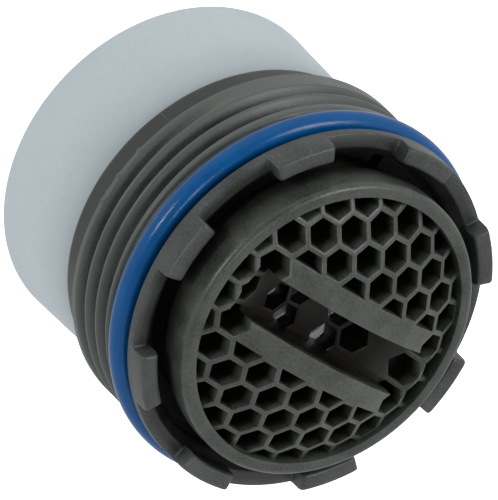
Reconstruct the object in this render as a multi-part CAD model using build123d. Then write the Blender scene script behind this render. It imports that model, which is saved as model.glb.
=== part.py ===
from build123d import *
from math import sqrt
import os

# Recessed tap aerator with a swivelling honeycomb nozzle, in millimetres.
# Z runs from the inlet rim to the outlet, and the origin is the centre of the inlet rim.
# X runs along the coin slot of the nozzle.
# The thread radius drives every fit across the part, and the cartridge stack drives the sleeve length.

# Threaded housing
THREAD_R = 9.25
THREAD_DEPTH = 0.6
THREAD_LEAD = 0.32
THREAD_LENGTH = 4.15
LIP_CHAMFER = 0.1
LAND_LENGTH = 1.05
LAND_CHAMFER = 0.15
HOUSING_WALL = 0.7
BEAD_GRIP = 0.2
BEAD_HEIGHT = 0.2
MOAT_STEP = 0.15
GROOVE_WIDTH = 1.75
FLANGE_THICKNESS = 0.5
FLANGE_OVERHANG = 0.08
TAB_COUNT = 8
TAB_ANGLE = 19
TAB_HEIGHT = 1.0
TAB_CLEARANCE = 0.77
TAB_STEP = 0.13
TAB_EDGE = 0.12

# Outer seal ring
O_RING_PROUD = 0.39
O_RING_SECTION = 1.2
O_RING_SQUASH = 0.04
O_RING_SIDE_GAP = 0.08

# Swivel nozzle
RIM_OVER_TABS = 1.0
PIVOT_BELOW_RIM = 6.0
BALL_REAR = 2.1
NECK_STEP = 0.5
NOZZLE_OVER_BALL = 0.5
WAIST_STEP = 0.6
WAIST_HEIGHT = 2.0
RIM_BAND = 0.9
RIM_WALL = 0.7
RIM_EDGE = 0.25
RIM_INNER_EDGE = 0.1
NOZZLE_WALL = 1.3
CAVITY_DROP = 0.75

# Honeycomb and coin slot
DOME_RISE = 1.55
DOME_EDGE_DROP = 0.325
CELL_PITCH = 1.57
CELL_WALL = 0.27
CELL_LEAST_SHARE = 0.1
COIN_R = 10.8
SLOT_DEPTH = 3.26
SLOT_FLOOR = 0.79
# Cells are counted in columns along X and half pitches along Y.
FILLED_CELLS = {(0, 0), (3, 1), (0, 2), (2, 2)}
BAR_CELLS = {(1, 3), (3, 3)}
FLOOR_CELLS = {(1, 1)}

# Insert behind the honeycomb
INSERT_RIM = 0.6
INSERT_HEIGHT = 1.3
INSERT_WEB = 0.4
INSERT_RING_R = 2.03
INSERT_SPOKES = 6
INSERT_STEP = 0.1

# Ball seat and its seal
SEAT_WALL = 0.67
SEAT_SPLIT = 0.6
SEAL_SQUASH = 0.03

# Cartridge sleeve
SLEEVE_STEP = 0.17
SLEEVE_FLARE = 0.18
SLEEVE_WALL = 1.16
SLEEVE_EDGE = 0.25
LEDGE_WIDTH = 1.0
LEDGE_THICKNESS = 0.5
SPIGOT_LENGTH = 1.15
SPIGOT_CHAMFER = 0.15
SPIGOT_WALL = 0.9
SPIGOT_BORE_DEPTH = 2.0

# Cartridge, from the inlet side
STRAINER_RECESS = 0.3
STRAINER_HEIGHT = 1.1
STRAINER_RIM = 0.6
STRAINER_PLATE = 0.5
STRAINER_HUB_R = 1.5
STRAINER_SLOT = 0.5
STRAINER_BAR = 0.35
STRAINER_RINGS = 3
STRAINER_FIRST_SLOTS = 8
REGULATOR_HEIGHT = 2.4
REGULATOR_RIM = 0.85
REGULATOR_FLOOR = 0.8
CORE_R = 2.2
CORE_GROOVE_R = 0.35
CORE_STEP = 0.2
GUIDE_WALL = 0.7
GUIDE_STEP = 0.4
PORT_COUNT = 6
PORT_WIDTH = 0.8
FLOW_RING_SECTION = 1.44
FLOW_RING_SQUASH = 0.05
SPLITTER_HEIGHT = 1.4
SPLITTER_RECESS = 0.3
SPLITTER_PLATE = 0.6
SPLITTER_RIM = 0.95
JET_COUNT = 18
JET_D = 0.9
JET_MARGIN = 0.95
GRID_HEIGHT = 0.9
GRID_RIM = 0.6
GRID_WEB = 0.4
GRID_PITCH = 1.6

# Clearances
RUN_GAP = 0.03
BALL_GAP = 0.05
SEAL_BALL_GAP = 0.03
SEAL_BORE_GAP = 0.05
SEAT_SEAL_GAP = 0.08
SEAT_END_GAP = 0.05
SLIP_GAP = 0.05
CORE_GAP = 0.08
RING_GAP = 0.18

# Heights, each built on the one before it
REGULATOR_Z = STRAINER_RECESS + STRAINER_HEIGHT
REGULATOR_END_Z = REGULATOR_Z + REGULATOR_HEIGHT
REGULATOR_FLOOR_Z = REGULATOR_END_Z - REGULATOR_FLOOR
LEDGE_Z = REGULATOR_END_Z + SPLITTER_HEIGHT
LEDGE_TOP_Z = LEDGE_Z + LEDGE_THICKNESS
SPIGOT_Z = LEDGE_TOP_Z + SPIGOT_BORE_DEPTH
REAR_Z = SPIGOT_Z - SPIGOT_LENGTH
THREAD_Z = REAR_Z + LAND_LENGTH
GROOVE_Z = THREAD_Z + THREAD_LENGTH
FLANGE_Z = GROOVE_Z + GROOVE_WIDTH
FLOOR_Z = FLANGE_Z + FLANGE_THICKNESS
TAB_Z = FLOOR_Z + TAB_HEIGHT
RIM_Z = TAB_Z + RIM_OVER_TABS
DOME_Z = RIM_Z + DOME_RISE
PIVOT_Z = RIM_Z - PIVOT_BELOW_RIM
GRILLE_BACK_Z = DOME_Z - SLOT_DEPTH - SLOT_FLOOR

# Radii, from the thread inwards and outwards
LAND_R = THREAD_R - THREAD_DEPTH
BORE_R = LAND_R - HOUSING_WALL
MOAT_R = BORE_R + MOAT_STEP
FLANGE_R = THREAD_R + FLANGE_OVERHANG
O_RING_R = THREAD_R + O_RING_PROUD
O_RING_FLOOR_R = O_RING_R - O_RING_SECTION + O_RING_SQUASH
SEAT_OUTER_R = BORE_R - RUN_GAP
SEAT_SPHERE_R = SEAT_OUTER_R - SEAT_WALL
BALL_R = SEAT_SPHERE_R - BALL_GAP
NECK_R = BALL_R - NECK_STEP
NOZZLE_R = BALL_R + NOZZLE_OVER_BALL
WAIST_R = NOZZLE_R - WAIST_STEP
NOZZLE_BORE_R = BALL_R - NOZZLE_WALL
GRILLE_R = NOZZLE_R - RIM_WALL
DOME_HEIGHT = DOME_RISE + DOME_EDGE_DROP
DOME_RADIUS = (GRILLE_R**2 + DOME_HEIGHT**2) / (2 * DOME_HEIGHT)
SLOT_WIDTH = 1.5 * CELL_PITCH
TAB_INNER_R = NOZZLE_R + TAB_CLEARANCE
FLANGE_INNER_R = TAB_INNER_R + TAB_STEP
SLEEVE_SHOULDER_R = LAND_R - SLEEVE_STEP
SLEEVE_INLET_R = SLEEVE_SHOULDER_R + SLEEVE_FLARE
SLEEVE_BORE_R = SLEEVE_INLET_R - SLEEVE_WALL
LEDGE_R = SLEEVE_BORE_R - LEDGE_WIDTH
SPIGOT_R = BORE_R - SLIP_GAP
SPIGOT_BORE_R = SPIGOT_R - SPIGOT_WALL
CARTRIDGE_R = SLEEVE_BORE_R - SLIP_GAP
FLOW_RING_R = CORE_R + CORE_GAP + FLOW_RING_SECTION / 2
JET_CIRCLE_R = CARTRIDGE_R - SPLITTER_RIM - JET_MARGIN - JET_D / 2


def gland_section():
    """Diameter of the round seal that fills the gland between spigot, bore and ball."""
    bore = BORE_R - SEAL_BORE_GAP
    depth = PIVOT_Z - SPIGOT_Z + SEAL_SQUASH
    ball = BALL_R + SEAL_BALL_GAP
    reach = bore + depth + ball
    return 2 * (reach - sqrt(reach**2 - bore**2 - depth**2 + ball**2))


SEAL_SECTION = gland_section()


def turned(*runs):
    """Revolve a closed outline, drawn as radius and height, about Z."""
    edges = [edge for run in runs for edge in run.edges()]
    return revolve(Plane.XZ * make_face(edges), Axis.Z)


def disc(radius, low, high):
    """Plain round plate between two heights."""
    return extrude(Pos(0, 0, low) * Circle(radius), high - low)


def tube(inner, outer, low, high):
    """Plain ring between two heights."""
    return extrude(Pos(0, 0, low) * (Circle(outer) - Circle(inner)), high - low)


def around(count, shape):
    """Copies of a shape turned about Z."""
    return [place * shape for place in PolarLocations(0, count)]


def on_ball(radius, height):
    """Point at a height on a sphere about the swivel pivot."""
    return (sqrt(radius**2 - (height - PIVOT_Z) ** 2), height)


def ball_arc(radius, start, end):
    """Arc of a sphere about the swivel pivot between two heights."""
    return ThreePointArc(
        on_ball(radius, start), on_ball(radius, (start + end) / 2), on_ball(radius, end)
    )


def on_dome(radius):
    """Point of the domed outlet face at a radius."""
    return (radius, DOME_Z - DOME_RADIUS + sqrt(DOME_RADIUS**2 - radius**2))


def web_grid(radius, web, pitch):
    """Crossing webs that fill a circle."""
    reach = int(radius / pitch)
    lines = [step * pitch for step in range(-reach, reach + 1)]
    along = [Pos(0, line) * Rectangle(2 * radius, web) for line in lines]
    across = [Pos(line, 0) * Rectangle(web, 2 * radius) for line in lines]
    return (Sketch() + along + across) & Circle(radius)


def threaded_housing():
    """Screw ring, plain at the thread crest, with seal groove, castellated flange and snap bead."""
    bead_r = BORE_R - BEAD_GRIP
    bead_z = GROOVE_Z + BEAD_HEIGHT
    ring = turned(
        Polyline(
            (BORE_R, REAR_Z),
            (BORE_R, GROOVE_Z),
            (bead_r, GROOVE_Z),
            (bead_r, bead_z),
            (MOAT_R, bead_z + MOAT_R - bead_r),
            (MOAT_R, FLOOR_Z + MOAT_R - FLANGE_INNER_R),
            (FLANGE_INNER_R, FLOOR_Z),
            (FLANGE_R, FLOOR_Z),
            (FLANGE_R, FLANGE_Z),
            (O_RING_FLOOR_R, FLANGE_Z),
            (O_RING_FLOOR_R, GROOVE_Z),
            (THREAD_R - LIP_CHAMFER, GROOVE_Z),
            (THREAD_R, GROOVE_Z - LIP_CHAMFER),
            (THREAD_R, THREAD_Z + THREAD_LEAD),
            (LAND_R, THREAD_Z),
            (LAND_R, REAR_Z + LAND_CHAMFER),
            (LAND_R - LAND_CHAMFER, REAR_Z),
            close=True,
        )
    )
    tab_base = FLANGE_Z + FLANGE_THICKNESS / 2
    section = Polyline(
        (TAB_INNER_R, tab_base),
        (FLANGE_R, tab_base),
        (FLANGE_R, TAB_Z),
        (TAB_INNER_R, TAB_Z),
        close=True,
    )
    tab = revolve(Plane.XZ * make_face(section.edges()), Axis.Z, TAB_ANGLE)
    tab = fillet(tab.edges().group_by(Axis.Z)[-1], TAB_EDGE)
    return ring + around(TAB_COUNT, Rot(0, 0, -TAB_ANGLE / 2) * tab)


def housing_o_ring():
    """Seal ring that beds on the groove floor."""
    half = O_RING_SECTION / 2
    ring = Pos(0, 0, GROOVE_Z + O_RING_SIDE_GAP + half) * Torus(O_RING_R - half, half)
    return ring - disc(O_RING_FLOOR_R, GROOVE_Z, FLANGE_Z)


def honeycomb_cells():
    """Open cells of the honeycomb, clipped by the nozzle rim, the bars and the slot."""
    cell = RegularPolygon((CELL_PITCH - CELL_WALL) / 2, 6, major_radius=False)
    column_pitch = CELL_PITCH * sqrt(3) / 2
    reach = int(GRILLE_R / column_pitch) + 2
    field = Circle(GRILLE_R)
    bars = Rectangle(2 * GRILLE_R, 2 * SLOT_WIDTH)
    slot = Rectangle(2 * GRILLE_R, SLOT_WIDTH)
    openings = []
    for column in range(-reach, reach + 1):
        for row in range(-reach, reach + 1):
            step = 2 * row + column % 2
            key = (abs(column), abs(step))
            if key in FILLED_CELLS:
                continue
            opening = Pos(column * column_pitch, step * CELL_PITCH / 2) * cell
            if key in BAR_CELLS:
                opening -= bars
            if key in FLOOR_CELLS:
                opening &= slot
            opening = opening & field
            if opening and opening.area > CELL_LEAST_SHARE * cell.area:
                openings.append(opening)
    return Sketch() + openings


def swivel_nozzle():
    """Ball nozzle with a domed honeycomb face and a coin slot across it."""
    waist_top = RIM_Z - RIM_BAND
    waist_low = waist_top - WAIST_HEIGHT
    rear = PIVOT_Z - BALL_REAR
    neck = PIVOT_Z + sqrt(BALL_R**2 - NECK_R**2)
    cavity_low = GRILLE_BACK_Z - CAVITY_DROP
    body = turned(
        Polyline(
            on_ball(BALL_R, rear),
            (NOZZLE_BORE_R, rear),
            (NOZZLE_BORE_R, cavity_low),
            (GRILLE_R, GRILLE_BACK_Z),
            (0, GRILLE_BACK_Z),
            (0, DOME_Z),
        ),
        ThreePointArc(on_dome(0), on_dome(GRILLE_R / 2), on_dome(GRILLE_R)),
        Polyline(
            on_dome(GRILLE_R),
            (GRILLE_R, RIM_Z - RIM_INNER_EDGE),
            (GRILLE_R + RIM_INNER_EDGE, RIM_Z),
            (NOZZLE_R - RIM_EDGE, RIM_Z),
        ),
        TangentArc((NOZZLE_R - RIM_EDGE, RIM_Z), (NOZZLE_R, RIM_Z - RIM_EDGE), tangent=(1, 0)),
        Line((NOZZLE_R, RIM_Z - RIM_EDGE), (NOZZLE_R, waist_top)),
        TangentArc((NOZZLE_R, waist_top), (WAIST_R, waist_low), tangent=(0, -1)),
        Line((WAIST_R, waist_low), (NECK_R, neck)),
        ball_arc(BALL_R, neck, rear),
    )
    through = extrude(Pos(0, 0, cavity_low) * honeycomb_cells(), DOME_Z - cavity_low)
    coin = Pos(0, 0, DOME_Z - SLOT_DEPTH + COIN_R) * Rot(90, 0, 0) * Cylinder(COIN_R, SLOT_WIDTH)
    return body - through - coin


def nozzle_insert():
    """Wheel-shaped flow insert that sits behind the honeycomb."""
    low = GRILLE_BACK_Z - INSERT_HEIGHT
    rim = tube(NOZZLE_BORE_R - INSERT_RIM, NOZZLE_BORE_R, low, GRILLE_BACK_Z)
    ring = Circle(INSERT_RING_R + INSERT_WEB / 2) - Circle(INSERT_RING_R - INSERT_WEB / 2)
    inner = Pos(INSERT_RING_R / 2, 0) * Rectangle(INSERT_RING_R, INSERT_WEB)
    reach = NOZZLE_BORE_R - INSERT_RIM / 2 - INSERT_RING_R
    outer = Pos(INSERT_RING_R + reach / 2, 0) * Rectangle(reach, INSERT_WEB)
    between = Rot(0, 0, 180 / INSERT_SPOKES)
    spokes = around(INSERT_SPOKES, inner) + around(INSERT_SPOKES, between * outer)
    webs = Sketch() + ring + spokes
    return rim + extrude(Pos(0, 0, low) * webs, INSERT_HEIGHT - INSERT_STEP)


def seat_ring():
    """Split slip ring that cups the ball and turns in the housing bore."""
    low = SPIGOT_Z - SEAL_SQUASH + SEAL_SECTION + SEAT_SEAL_GAP
    high = GROOVE_Z - SEAT_END_GAP
    ring = turned(
        Polyline(
            on_ball(SEAT_SPHERE_R, low),
            (SEAT_OUTER_R, low),
            (SEAT_OUTER_R, high),
            on_ball(SEAT_SPHERE_R, high),
        ),
        ball_arc(SEAT_SPHERE_R, high, low),
    )
    height = high - low
    return ring - Pos(0, SEAT_OUTER_R, low + height / 2) * Box(SEAT_SPLIT, SEAT_OUTER_R, 2 * height)


def ball_seal():
    """Seal ring that fills the gland between the sleeve end, the housing and the ball."""
    half = SEAL_SECTION / 2
    centre_z = SPIGOT_Z + half - SEAL_SQUASH
    ring = Pos(0, 0, centre_z) * Torus(BORE_R - SEAL_BORE_GAP - half, half)
    return ring - disc(BORE_R, SPIGOT_Z - SEAL_SECTION, SPIGOT_Z)


def cartridge_sleeve():
    """Tapered sleeve that carries the cartridge and plugs into the housing."""
    return turned(
        Polyline(
            (SLEEVE_INLET_R - SLEEVE_EDGE, 0),
            (SLEEVE_BORE_R + SLEEVE_EDGE / 2, 0),
            (SLEEVE_BORE_R, SLEEVE_EDGE / 2),
            (SLEEVE_BORE_R, LEDGE_Z),
            (LEDGE_R, LEDGE_Z),
            (LEDGE_R, LEDGE_TOP_Z),
            (SPIGOT_BORE_R, LEDGE_TOP_Z),
            (SPIGOT_BORE_R, SPIGOT_Z),
            (SPIGOT_R - SPIGOT_CHAMFER, SPIGOT_Z),
            (SPIGOT_R, SPIGOT_Z - SPIGOT_CHAMFER),
            (SPIGOT_R, REAR_Z),
            (SLEEVE_SHOULDER_R, REAR_Z),
            (SLEEVE_INLET_R, SLEEVE_EDGE),
        ),
        TangentArc((SLEEVE_INLET_R - SLEEVE_EDGE, 0), (SLEEVE_INLET_R, SLEEVE_EDGE), tangent=(1, 0)),
    )


def inlet_strainer():
    """Slotted dirt screen just inside the inlet rim."""
    field_r = CARTRIDGE_R - STRAINER_RIM
    rim = tube(field_r, CARTRIDGE_R, STRAINER_RECESS, REGULATOR_Z)
    ring_pitch = (field_r - STRAINER_HUB_R) / STRAINER_RINGS
    slot = Rectangle(ring_pitch - STRAINER_BAR, STRAINER_SLOT)
    slots = []
    for ring in range(STRAINER_RINGS):
        middle_r = STRAINER_HUB_R + (ring + 0.5) * ring_pitch
        slots += around(STRAINER_FIRST_SLOTS * (ring + 1), Pos(middle_r, 0) * slot)
    plate = Circle(CARTRIDGE_R - STRAINER_RIM / 2) - slots
    middle_z = STRAINER_RECESS + (STRAINER_HEIGHT - STRAINER_PLATE) / 2
    return rim + extrude(Pos(0, 0, middle_z) * plate, STRAINER_PLATE)


def regulator_body():
    """Flow regulator with a grooved core, a guide wall and ports under the elastic ring."""
    depth = REGULATOR_FLOOR_Z - REGULATOR_Z
    guide_height = depth - GUIDE_STEP
    core_height = depth - CORE_STEP
    guide_inner = FLOW_RING_R + FLOW_RING_SECTION / 2 + RING_GAP
    groove = Pos(CORE_R, 0) * Circle(CORE_GROOVE_R)
    core = Circle(CORE_R) - around(PORT_COUNT, groove)
    port_length = FLOW_RING_R + FLOW_RING_SECTION / 4 - CORE_R
    port = Pos(CORE_R + port_length / 2, 0) * Rectangle(port_length, PORT_WIDTH)
    floor = Circle(CARTRIDGE_R) - around(PORT_COUNT, port)
    guide = Circle(guide_inner + GUIDE_WALL) - Circle(guide_inner)
    body = tube(CARTRIDGE_R - REGULATOR_RIM, CARTRIDGE_R, REGULATOR_Z, REGULATOR_END_Z)
    body += extrude(Pos(0, 0, REGULATOR_FLOOR_Z) * floor, REGULATOR_FLOOR)
    body += extrude(Pos(0, 0, REGULATOR_FLOOR_Z - guide_height) * guide, guide_height)
    return body + extrude(Pos(0, 0, REGULATOR_FLOOR_Z - core_height) * core, core_height)


def regulator_ring():
    """Elastic ring that narrows the ports as the pressure rises."""
    half = FLOW_RING_SECTION / 2
    centre_z = REGULATOR_FLOOR_Z - half + FLOW_RING_SQUASH
    ring = Pos(0, 0, centre_z) * Torus(FLOW_RING_R, half)
    return ring - disc(CARTRIDGE_R, REGULATOR_FLOOR_Z, REGULATOR_END_Z)


def jet_splitter():
    """Plate with a circle of jets below a shallow feed chamber."""
    plate_z = REGULATOR_END_Z + SPLITTER_RECESS
    jets = around(JET_COUNT, Pos(JET_CIRCLE_R, 0) * Circle(JET_D / 2))
    plate = Circle(CARTRIDGE_R - SPLITTER_RIM / 2) - jets
    rim = tube(CARTRIDGE_R - SPLITTER_RIM, CARTRIDGE_R, REGULATOR_END_Z, LEDGE_Z)
    return rim + extrude(Pos(0, 0, plate_z) * plate, SPLITTER_PLATE)


def mixing_grid():
    """Webbed grid that breaks up the jets below the ledge."""
    rim = tube(SPIGOT_BORE_R - GRID_RIM, SPIGOT_BORE_R, LEDGE_TOP_Z, LEDGE_TOP_Z + GRID_HEIGHT)
    webs = web_grid(SPIGOT_BORE_R - GRID_RIM / 2, GRID_WEB, GRID_PITCH)
    return rim + extrude(Pos(0, 0, LEDGE_TOP_Z) * webs, GRID_HEIGHT)


PIECES = {
    "threaded_housing": threaded_housing,
    "housing_o_ring": housing_o_ring,
    "swivel_nozzle": swivel_nozzle,
    "nozzle_insert": nozzle_insert,
    "seat_ring": seat_ring,
    "ball_seal": ball_seal,
    "cartridge_sleeve": cartridge_sleeve,
    "inlet_strainer": inlet_strainer,
    "regulator_body": regulator_body,
    "regulator_ring": regulator_ring,
    "jet_splitter": jet_splitter,
    "mixing_grid": mixing_grid,
}

os.makedirs("parts", exist_ok=True)
for name, build in PIECES.items():
    piece = build()
    print(name, len(piece.solids()), round(piece.volume, 2), piece.is_valid)
    export_step(piece, f"parts/{name}.step")
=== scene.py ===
import math
from collections import Counter

import bmesh
import bpy
import numpy as np
from mathutils import Matrix, Vector
from mathutils.geometry import delaunay_2d_cdt


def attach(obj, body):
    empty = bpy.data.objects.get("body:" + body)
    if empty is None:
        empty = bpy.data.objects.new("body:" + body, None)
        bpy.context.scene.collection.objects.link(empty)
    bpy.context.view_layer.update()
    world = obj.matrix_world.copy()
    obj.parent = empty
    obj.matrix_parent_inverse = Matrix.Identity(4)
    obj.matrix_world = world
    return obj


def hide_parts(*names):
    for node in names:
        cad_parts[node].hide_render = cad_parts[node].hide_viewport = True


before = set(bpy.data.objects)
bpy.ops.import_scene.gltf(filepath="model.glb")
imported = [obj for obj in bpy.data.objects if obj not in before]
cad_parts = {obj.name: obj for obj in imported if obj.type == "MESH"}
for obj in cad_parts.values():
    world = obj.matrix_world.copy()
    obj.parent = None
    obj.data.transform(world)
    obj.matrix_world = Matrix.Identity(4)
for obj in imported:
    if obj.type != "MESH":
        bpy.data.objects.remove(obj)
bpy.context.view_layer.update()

# Sizes of the object are in millimetres and angles in degrees; the camera and light are in metres.
# A name with ROW is an extra row of points on a flat stretch, which keeps tones near their edges.
MM = 0.001

# Inside of the housing, from the rear to the mouth
REAR_Z = 6.35
BORE_R = 7.95
BORE_ROW_Z = 9.2
LEDGE_R = 7.75
LEDGE_Z = 11.95
CONE_ROW = 0.1
MOUTH_R = 8.1
MOUTH_CHAMFER_Z = 13.5
# The chamfer of the mouth starts softly, has rows at these rises, and splits into tabs and notches
CHAMFER_START = 0.04
CHAMFER_ROWS = (0.03, 0.2, 0.35)
CHAMFER_SPLIT = 0.4

# Outside of the housing
LAND_R = 8.65
LAND_CHAMFER = 0.15
# Rounded foot of the land: distance in from the land and up from the rear face
LAND_FOOT = ((0.03, 0.06), (0.1, 0.0))
FOOT_ROW_R = 8.2
GROOVE_Z = 11.75
GROOVE_R = 8.48
GROOVE_ROW_Z = 12.6
FLANGE_Z = 13.5
FLANGE_R = 9.33
RING_EDGE = 0.08
FLANGE_BLUNT = 0.02

# Tabs, and the notches between them
NOTCH_Z = 14.0
NOTCH_FILLET = 0.1
# Rounded inner edge of a notch: distance out and up from its corner, and share of the fillet's rise
NOTCH_ROUND = ((-0.06, -0.06, 0.0), (-0.02, -0.025, 0.4), (0.03, -0.01, 0.8), (0.1, 0.0, 1.0))
NOTCH_COLUMNS = 13
TAB_COUNT = 8
TAB_HALF_ANGLE = 9.5
TAB_INNER_R = 8.47
TAB_MID_R = 8.9
TAB_HEIGHT = 1.0
TAB_CORNER = 0.18
TAB_COLUMNS = 18
FLANK_ANGLE = 0.06
CORNER_TURNS = np.radians((0, 30, 60, 90))
# Specks of flash on the outer edge of one notch floor, and how they fade down that edge; their bent
# edges get rubbed tone and painted highlight
SPECK_ANGLES = (159.0, 166.5)
SPECK_WIDTH = 0.35
SPECK_HEIGHT = 0.04
SPECK_SHARES = (1.0, 1.0, 0.6, 0.0)

# Thread, whose first crest is at this height on the side that faces the camera
THREAD_R = 9.25
THREAD_PITCH = 1.0
FIRST_CREST_Z = 8.15
FIRST_CREST_ANGLE = 167.5
THREAD_STEP = 0.035
# Flat halves of crest and root in pitches, and how far the groove is straight between them
CREST_HALF = 0.06
ROOT_HALF = 0.06
STRAIGHT_SHARE = 0.35
# Smooth steps along the thread: where each starts and how long it is
LAND_TO_CREST = (7.75, 0.3)
GROOVE_FADES_IN = (8.55, 0.13)
GROOVE_FADES_OUT = (11.2, 0.2)
LIP_STEP = (11.62, 0.13)
LIP_DEPTH = 0.1
# Relief behind the lip of the seal groove
RELIEF_Z = 11.5
RELIEF_WIDTH = 0.12
RELIEF_DEPTH = 0.2
# Moulding burrs on the first turn: angle, height, angular width and how far they stand out; their
# bent edges get rubbed tone and painted highlight
BURRS = (
    (169.0, 8.08, 0.9, 0.13),
    (178.5, 8.11, 0.7, 0.12),
    (184.0, 8.05, 0.4, 0.08),
    (187.0, 8.13, 0.8, 0.12),
)
BURR_WIDTH_Z = 0.09
# Mould seam on the land
SEAM_ANGLE = 156.5
SEAM_WIDTH = 0.35
SEAM_HEIGHT = 0.06
SEAM_FADES_OUT = (7.7, 0.12)
# Angles between which the columns are finer, for the burrs, specks and seam
FINE_FROM, FINE_TO, FINE_STEP = 150.0, 194.0, 0.4
# Heights between which the thread crests are rubbed lighter with painted highlight, and the radius
# where that starts
RUB_AND_HIGHLIGHT_LOW_Z = 7.9
RUB_AND_HIGHLIGHT_HIGH_Z = 11.4
RUB_AND_HIGHLIGHT_FROM_R = 8.85

# Outside and bore of the nozzle
PIVOT_Z = 10.0
BALL_R = 7.2
NOZZLE_REAR_Z = 7.9
REAR_ROW_R = 6.4
NECK_R = 6.7
NECK_TURN = (6.85, 12.78)
NOZZLE_R = 7.7
WAIST_R = 7.1
WAIST_TOP_Z = 15.1
WAIST_LOW_Z = 13.1
WALL_LOW_Z = 15.4
RIM_Z = 16.0
RIM_EDGE = 0.35
RIM_ROW_R = 7.22
# Inner edge of the rim: how far down it starts, and the distance out and down of its points
LIP_START = 0.1
LIP_POINTS = ((0.03, 0.03), (0.09, 0.0))
NOZZLE_BORE_R = 5.9
NOZZLE_BORE_ROW_Z = 10.4
CAVITY_Z = 12.75

# Domed honeycomb
GRILLE_R = 7.0
GRILLE_BACK_Z = 13.5
DOME_Z = 17.55
DOME_RADIUS = 14.004
CELL_PITCH = 1.57
CELL_WALL = 0.27
CELL_EDGE = 0.08
CELL_REACH = 6
SMALLEST_CELL_AREA = 0.15
# Distance from the centre of a cell beyond which nothing belongs to it
CELL_FAR = 1.2
EDGE_MARGINS = (0.0, 0.25 * CELL_EDGE, CELL_EDGE)
RIM_STEPS = 240
# Cells within this share of the radius aren't clipped by the rim
UNCLIPPED_SHARE = 0.995

# Coin slot, its floor and the cells that the moulding closes or cuts beside it
SLOT_HALF = 0.75 * CELL_PITCH
SLOT_FLOOR_Z = 14.29
COIN_R = 10.8
SLOT_MARGIN = 0.2
SLOT_END_LIMITS = (4.0, 6.8)
SLOT_END_HALVINGS = 40
SLOT_SIDE_POINTS = 49
SLOT_END_POINTS = 9
FILLED_CELLS = {(0, 0), (3, 1), (0, 2), (2, 2)}
BAR_CELLS = {(1, 3), (3, 3)}
FLOOR_CELLS = {(1, 1)}

# Grid of points that keeps the triangles even on the bars and the slot floor
GRID_STEP = 0.3
GRID_X = 6.6
GRID_Y = 2.4
GRID_R = 6.7
GRID_FROM_SLOT = 0.15
GRID_FROM_CELL = 0.14

# Smallest distances that count: on a line, as a step at the slot's side and between plan points
ON_LINE = 1e-4
LEAST_STEP = 1e-3
MERGE = 1e-5
PLACE_DIGITS = 4

# Seal ring, with its flat against the groove
SEAL_R = 9.034
SEAL_Z = 12.43
SEAL_SECTION_R = 0.6
SEAL_FLAT_ANGLE = 158

# Sleeve: tapered outer wall, spigot in the housing bore, and the shoulder inside
INLET_R = 8.66
INLET_ROUND = 0.25
INLET_CHAMFER = 0.12
INLET_ROWS = (7.9, 8.2)
SLEEVE_WALL = ((8.65, 0.6), (8.6, 2.4), (8.54, 4.4), (8.486, REAR_Z))
SLEEVE_ROW_R = 8.2
SPIGOT_R = 7.9
SPIGOT_Z = 7.7
SPIGOT_CHAMFER = 0.15
SPIGOT_BORE_R = 7.0
SHOULDER_R = 6.5
SHOULDER_TOP_Z = 5.7
SHOULDER_LOW_Z = 5.2
SLEEVE_BORE_R = 7.5
SLEEVE_BORE_ROW_Z = 2.5
RING_STEPS = 320

# Bend in radians at which an edge starts to be rubbed lighter with painted highlight, and at which
# it is fully bright
WEAR_AND_HIGHLIGHT_FROM = 0.3
WEAR_AND_HIGHLIGHT_FULL = 0.9
# Angle past which an edge is shaded sharp
SHARP_ANGLE = 32

# Depth below the dome at which the painted shade on the cell walls is darkest
DARK_DEPTH = 0.75
# Share of the depth counted as painted shade on the open floor of the slot, which gets more light
# than a cell
FLOOR_SHARE = 0.35
# Painted shade in the gap round the nozzle, counted as a depth: the most, and how it grows on both
# walls
GAP_DEPTH = 0.52
GAP_HOUSING_START = 0.42
GAP_HOUSING_SLOPE = 2.0
GAP_NOZZLE_SLOPE = 0.42
# Part of the housing that gets painted shade in the gap, less the side that faces the seal
GAP_OUTER_R = 9.2
GAP_LOW_Z = 12.0
GAP_HIGH_Z = 14.2
SEAL_SIDE_R = 8.46
SEAL_SIDE_Z = 13.8


# Mesh helpers

def mark_wear_and_highlight(shape):
    """Store on each vertex how sharply the outer edges at it bend, which sets rubbed tone and
    painted highlight.
    """
    layer = shape.verts.layers.float.new("wear_and_highlight")
    for vert in shape.verts:
        bend = max(edge.calc_face_angle_signed(0.0) for edge in vert.link_edges)
        vert[layer] = min(1.0, max(0.0, (bend - WEAR_AND_HIGHLIGHT_FROM) / (WEAR_AND_HIGHLIGHT_FULL - WEAR_AND_HIGHLIGHT_FROM)))


def add_object(name, verts, faces, node, body, slot, finish, stored=None, inlay=None):
    """Smooth-shaded closed mesh in millimetres that stands for a CAD node.

    Stored values go on the vertices, and an inlay is a second finish with the faces that it covers.
    """
    mesh = bpy.data.meshes.new(name)
    mesh.from_pydata([(x * MM, y * MM, z * MM) for x, y, z in verts], [], faces)
    shape = bmesh.new()
    shape.from_mesh(mesh)
    bmesh.ops.recalc_face_normals(shape, faces=shape.faces)
    mark_wear_and_highlight(shape)
    shape.to_mesh(mesh)
    shape.free()
    for label, values in (stored or {}).items():
        layer = mesh.attributes.new(label, "FLOAT", "POINT")
        layer.data.foreach_set("value", values)
    mesh.shade_smooth()
    mesh.set_sharp_from_angle(angle=math.radians(SHARP_ANGLE))
    mesh.materials.append(finish)
    if inlay:
        second_finish, covered = inlay
        mesh.materials.append(second_finish)
        for index in covered:
            mesh.polygons[index].material_index = 1
    obj = bpy.data.objects.new(name, mesh)
    bpy.context.scene.collection.objects.link(obj)
    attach(obj, body)
    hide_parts(node)


def arc(centre, radius, start, end, count):
    """Points of a circular arc in the plane of a profile."""
    angles = np.radians(np.linspace(start, end, count))
    return [(centre[0] + radius * math.cos(a), centre[1] + radius * math.sin(a)) for a in angles]


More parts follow.
